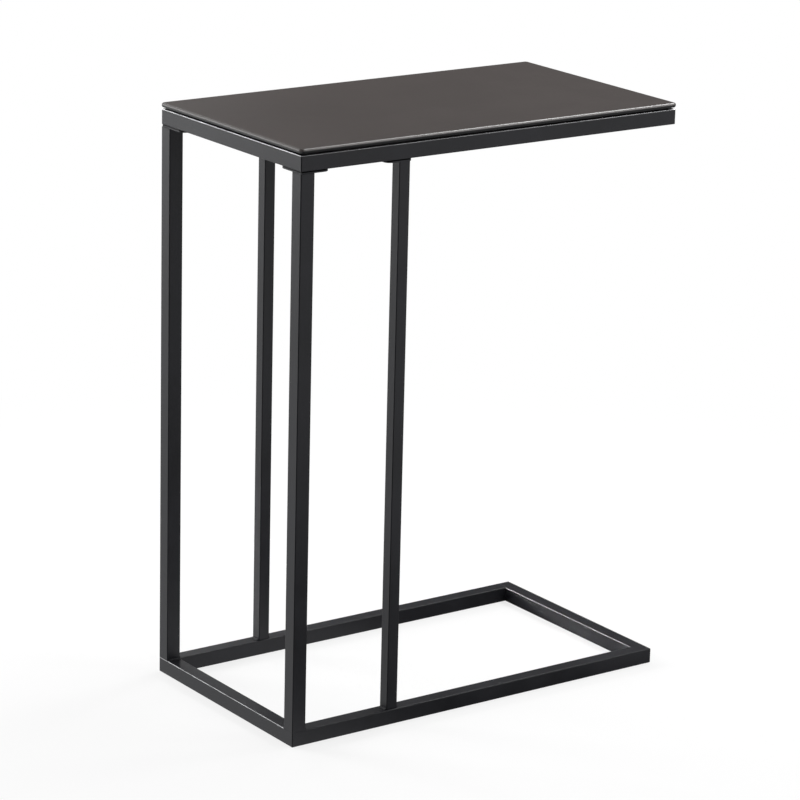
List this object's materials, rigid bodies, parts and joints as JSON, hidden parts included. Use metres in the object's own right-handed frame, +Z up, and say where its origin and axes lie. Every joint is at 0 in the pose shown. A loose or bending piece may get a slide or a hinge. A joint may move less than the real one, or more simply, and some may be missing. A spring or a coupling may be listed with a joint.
{
  "type": "accent table",
  "caption": "Narrow C-shaped accent table: dark glass top on a square-tube frame, posts at one end only, open rectangular base that slides under a sofa.",
  "frame": {"origin": "on the floor, under the middle of the table", "axes": "+X along the table towards the open end, away from the posts; +Y across it, towards the back long side; +Z up"},
  "size_m": [0.462, 0.256, 0.61],
  "materials": {
    "dark_glass": "polished, opaque black",
    "pad_rubber": "soft matt",
    "black_frame": "satin black powder coat",
    "black_screw": "black oxide",
    "nut_steel": "plain steel"
  },
  "bodies": {
    "root": {"glass_top": "dark_glass", "glass_pads": "pad_rubber", "top_rail_front": "black_frame", "top_rail_back": "black_frame", "top_rail_post_end": "black_frame", "top_rail_open_end": "black_frame", "base_rail_front": "black_frame", "base_rail_back": "black_frame", "base_rail_post_end": "black_frame", "base_rail_open_end": "black_frame", "corner_post_front": "black_frame", "corner_post_back": "black_frame", "inner_post_front": "black_frame", "inner_post_back": "black_frame", "corner_plate_front": "black_frame", "corner_plate_back": "black_frame", "inner_plate_front": "black_frame", "inner_plate_back": "black_frame", "foot_welds": "black_frame", "plate_screws": "black_screw", "weld_nuts": "nut_steel"}
  },
  "joints": []
}
